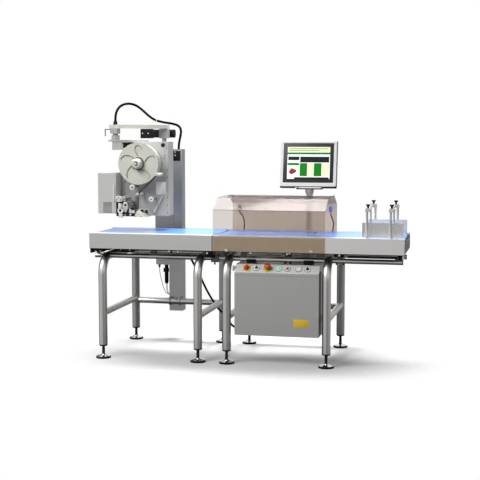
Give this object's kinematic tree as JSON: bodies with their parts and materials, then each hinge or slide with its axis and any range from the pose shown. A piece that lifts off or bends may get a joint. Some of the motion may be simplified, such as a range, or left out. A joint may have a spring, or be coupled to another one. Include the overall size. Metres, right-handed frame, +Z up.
{
  "type": "weigh price labeller",
  "caption": "In-line food weighing and price labelling machine: label head on a lift column, tinted weighing hood, touch screen and control cabinet on tubular tables.",
  "frame": {"origin": "on the floor under the middle of the machine's box", "axes": "+X along the line from the outfeed end to the infeed end, +Y away from the operator, +Z up"},
  "size_m": [2.227, 0.9217, 1.825],
  "materials": {
    "stainless": "satin brushed stainless",
    "foot_metal": "polished dome on a black rubber sole",
    "black_steel": "blackened spindle and plug",
    "belt": "smooth blue food belt",
    "roller_steel": "turned stainless",
    "smoke_sheet": "smoke tinted clear sheet",
    "sensor_blue": "moulded blue",
    "black_plastic": "moulded black",
    "red_plastic": "moulded red",
    "green_plastic": "moulded green",
    "white_plastic": "moulded white",
    "cable": "black sheath",
    "head_paint": "warm grey satin paint",
    "reel_plastic": "ivory moulding",
    "label_paper": "wound paper",
    "print_rubber": "white silicone"
  },
  "bodies": {
    "root": {"cabinet_panel": "stainless", "cabinet_shell": "stainless", "column": "stainless", "control_collars": "black_plastic", "conveyor_belts": "belt", "display_pole": "stainless", "foot_pads": "foot_metal", "foot_spindles": "black_steel", "frame_rails": "stainless", "front_legs": "stainless", "guide_posts": "stainless", "hood_cover": "smoke_sheet", "lift_connector": "black_plastic", "lift_lead": "cable", "outfeed_frame": "stainless", "product_sensors": "sensor_blue", "rail_fittings": "stainless", "rear_legs": "stainless", "sensor_lead_left": "cable", "sensor_lead_right": "cable", "stretchers": "stainless", "supply_cable": "cable", "weigh_platform": "stainless", "weigher_frame": "stainless"},
    "hood_flap": {"hood_flap": "smoke_sheet"},
    "lift": {"lift_arm": "head_paint", "lift_motor": "black_plastic", "top_cable": "cable"},
    "head": {"head_housing": "head_paint", "side_box": "head_paint", "print_unit": "stainless"},
    "reel": {"reel": "reel_plastic", "label_roll": "label_paper"},
    "dancer_arm": {"dancer_arm": "stainless"},
    "upper_roller": {"upper_roller": "roller_steel"},
    "lower_roller": {"lower_roller": "roller_steel"},
    "print_roller": {"print_roller": "print_rubber"},
    "feed_wheel": {"feed_wheel": "roller_steel"},
    "clamp_lever": {"clamp_lever": "roller_steel"},
    "display_swivel": {"display_swivel": "stainless"},
    "display": {"display_housing": "white_plastic"},
    "front_guide": {"front_guide": "stainless"},
    "rear_guide": {"rear_guide": "stainless"},
    "outfeed_drive_roller": {"outfeed_drive_roller": "roller_steel"},
    "outfeed_tail_roller": {"outfeed_tail_roller": "roller_steel"},
    "infeed_drive_roller": {"infeed_drive_roller": "roller_steel"},
    "infeed_tail_roller": {"infeed_tail_roller": "roller_steel"},
    "weigh_drive_roller": {"weigh_drive_roller": "roller_steel"},
    "weigh_tail_roller": {"weigh_tail_roller": "roller_steel"},
    "front_knob_left": {"front_knob_left": "black_plastic"},
    "front_knob_right": {"front_knob_right": "black_plastic"},
    "rear_knob_left": {"rear_knob_left": "black_plastic"},
    "rear_knob_right": {"rear_knob_right": "black_plastic"},
    "main_switch": {"main_switch": "red_plastic"},
    "power_selector": {"power_selector": "green_plastic"},
    "emergency_stop": {"emergency_stop": "red_plastic"},
    "start_button": {"start_button": "green_plastic"},
    "stop_button": {"stop_button": "red_plastic"},
    "reset_button": {"reset_button": "white_plastic"},
    "mode_selector": {"mode_selector": "black_plastic"}
  },
  "joints": [
    {"name": "outfeed_drive_spin", "type": "hinge", "parent": "root", "child": "outfeed_drive_roller", "pos_m": [-1.0711, -0.1629, 0.8706], "axis": [0, 1, 0], "continuous": true},
    {"name": "outfeed_tail_spin", "type": "hinge", "parent": "root", "child": "outfeed_tail_roller", "pos_m": [-0.2339, -0.1629, 0.8706], "axis": [0, 1, 0], "continuous": true},
    {"name": "infeed_drive_spin", "type": "hinge", "parent": "root", "child": "infeed_drive_roller", "pos_m": [1.0821, -0.1629, 0.8706], "axis": [0, 1, 0], "continuous": true},
    {"name": "infeed_tail_spin", "type": "hinge", "parent": "root", "child": "infeed_tail_roller", "pos_m": [0.4809, -0.1629, 0.8706], "axis": [0, 1, 0], "continuous": true},
    {"name": "weigh_drive_spin", "type": "hinge", "parent": "root", "child": "weigh_drive_roller", "pos_m": [0.4261, -0.1629, 0.8706], "axis": [0, 1, 0], "continuous": true},
    {"name": "weigh_tail_spin", "type": "hinge", "parent": "root", "child": "weigh_tail_roller", "pos_m": [-0.1691, -0.1629, 0.8706], "axis": [0, 1, 0], "continuous": true},
    {"name": "hood_hinge", "type": "hinge", "parent": "root", "child": "hood_flap", "pos_m": [0.1935, -0.3179, 1.159], "axis": [-1, 0, 0], "range_deg": [0, 95]},
    {"name": "head_lift", "type": "slide", "parent": "root", "child": "lift", "axis": [0, 0, 1], "range_m": [-0.08, 0.1], "deforming": ["top_cable"]},
    {"name": "head_swivel", "type": "hinge", "parent": "lift", "child": "head", "pos_m": [-1.0275, -0.0609, 1.606], "axis": [0, 0, 1], "range_deg": [-90, 0]},
    {"name": "clamp_lever_turn", "type": "hinge", "parent": "lift", "child": "clamp_lever", "pos_m": [-1.0585, -0.0609, 1.628], "axis": [1, 0, 0], "range_deg": [-75, 75]},
    {"name": "reel_spin", "type": "hinge", "parent": "head", "child": "reel", "pos_m": [-0.8105, -0.1509, 1.382], "axis": [0, 1, 0], "continuous": true},
    {"name": "dancer_swing", "type": "hinge", "parent": "head", "child": "dancer_arm", "pos_m": [-0.6625, -0.1509, 1.304], "axis": [0, 1, 0], "range_deg": [-16, 8]},
    {"name": "upper_roller_spin", "type": "hinge", "parent": "head", "child": "upper_roller", "pos_m": [-0.8605, -0.1409, 1.211], "axis": [0, 1, 0], "continuous": true},
    {"name": "lower_roller_spin", "type": "hinge", "parent": "head", "child": "lower_roller", "pos_m": [-0.7185, -0.1409, 1.126], "axis": [0, 1, 0], "continuous": true},
    {"name": "print_roller_spin", "type": "hinge", "parent": "head", "child": "print_roller", "pos_m": [-0.9305, -0.1609, 1.042], "axis": [0, 1, 0], "continuous": true},
    {"name": "feed_wheel_spin", "type": "hinge", "parent": "head", "child": "feed_wheel", "pos_m": [-0.9305, -0.1609, 1.0785], "axis": [0, 1, 0], "continuous": true},
    {"name": "display_turn", "type": "hinge", "parent": "root", "child": "display_swivel", "pos_m": [0.3735, 0.1891, 1.196], "axis": [0, 0, 1], "range_deg": [-45, 45]},
    {"name": "display_tilt", "type": "hinge", "parent": "display_swivel", "child": "display", "pos_m": [0.3735, 0.1831, 1.238], "axis": [1, 0, 0], "range_deg": [-12, 10]},
    {"name": "front_guide_slide", "type": "slide", "parent": "root", "child": "front_guide", "axis": [0, 1, 0], "range_m": [0, 0.025]},
    {"name": "rear_guide_slide", "type": "slide", "parent": "root", "child": "rear_guide", "axis": [0, 1, 0], "range_m": [-0.05, 0.06]},
    {"name": "front_knob_left_turn", "type": "hinge", "parent": "root", "child": "front_knob_left", "pos_m": [0.8655, -0.4109, 1.106], "axis": [0, 0, 1], "range_deg": [-180, 180]},
    {"name": "front_knob_right_turn", "type": "hinge", "parent": "root", "child": "front_knob_right", "pos_m": [1.0235, -0.4109, 1.106], "axis": [0, 0, 1], "range_deg": [-180, 180]},
    {"name": "rear_knob_left_turn", "type": "hinge", "parent": "root", "child": "rear_knob_left", "pos_m": [0.8555, 0.0671, 1.106], "axis": [0, 0, 1], "range_deg": [-180, 180]},
    {"name": "rear_knob_right_turn", "type": "hinge", "parent": "root", "child": "rear_knob_right", "pos_m": [1.0135, 0.0671, 1.106], "axis": [0, 0, 1], "range_deg": [-180, 180]},
    {"name": "main_switch_turn", "type": "hinge", "parent": "root", "child": "main_switch", "pos_m": [0.0355, -0.41536, 0.67313], "axis": [0, -0.6865, 0.7271], "range_deg": [0, 90]},
    {"name": "power_selector_turn", "type": "hinge", "parent": "root", "child": "power_selector", "pos_m": [0.1045, -0.41536, 0.67313], "axis": [0, -0.6865, 0.7271], "range_deg": [-45, 45]},
    {"name": "emergency_stop_press", "type": "slide", "parent": "root", "child": "emergency_stop", "axis": [0, 0.6865, -0.7271], "range_m": [0, 0.004]},
    {"name": "start_button_press", "type": "slide", "parent": "root", "child": "start_button", "axis": [0, 0.6865, -0.7271], "range_m": [0, 0.004], "stiffness_N_per_m": 400},
    {"name": "stop_button_press", "type": "slide", "parent": "root", "child": "stop_button", "axis": [0, 0.6865, -0.7271], "range_m": [0, 0.004], "stiffness_N_per_m": 400},
    {"name": "reset_button_press", "type": "slide", "parent": "root", "child": "reset_button", "axis": [0, 0.6865, -0.7271], "range_m": [0, 0.004], "stiffness_N_per_m": 400},
    {"name": "mode_selector_turn", "type": "hinge", "parent": "root", "child": "mode_selector", "pos_m": [0.4595, -0.41536, 0.67313], "axis": [0, -0.6865, 0.7271], "range_deg": [-45, 45]}
  ],
  "couplings": [
    {"joint": "outfeed_tail_spin", "follows": "outfeed_drive_spin", "ratio": 1},
    {"joint": "infeed_tail_spin", "follows": "infeed_drive_spin", "ratio": 1},
    {"joint": "weigh_tail_spin", "follows": "weigh_drive_spin", "ratio": 1},
    {"joint": "feed_wheel_spin", "follows": "print_roller_spin", "ratio": -1.0625}
  ]
}
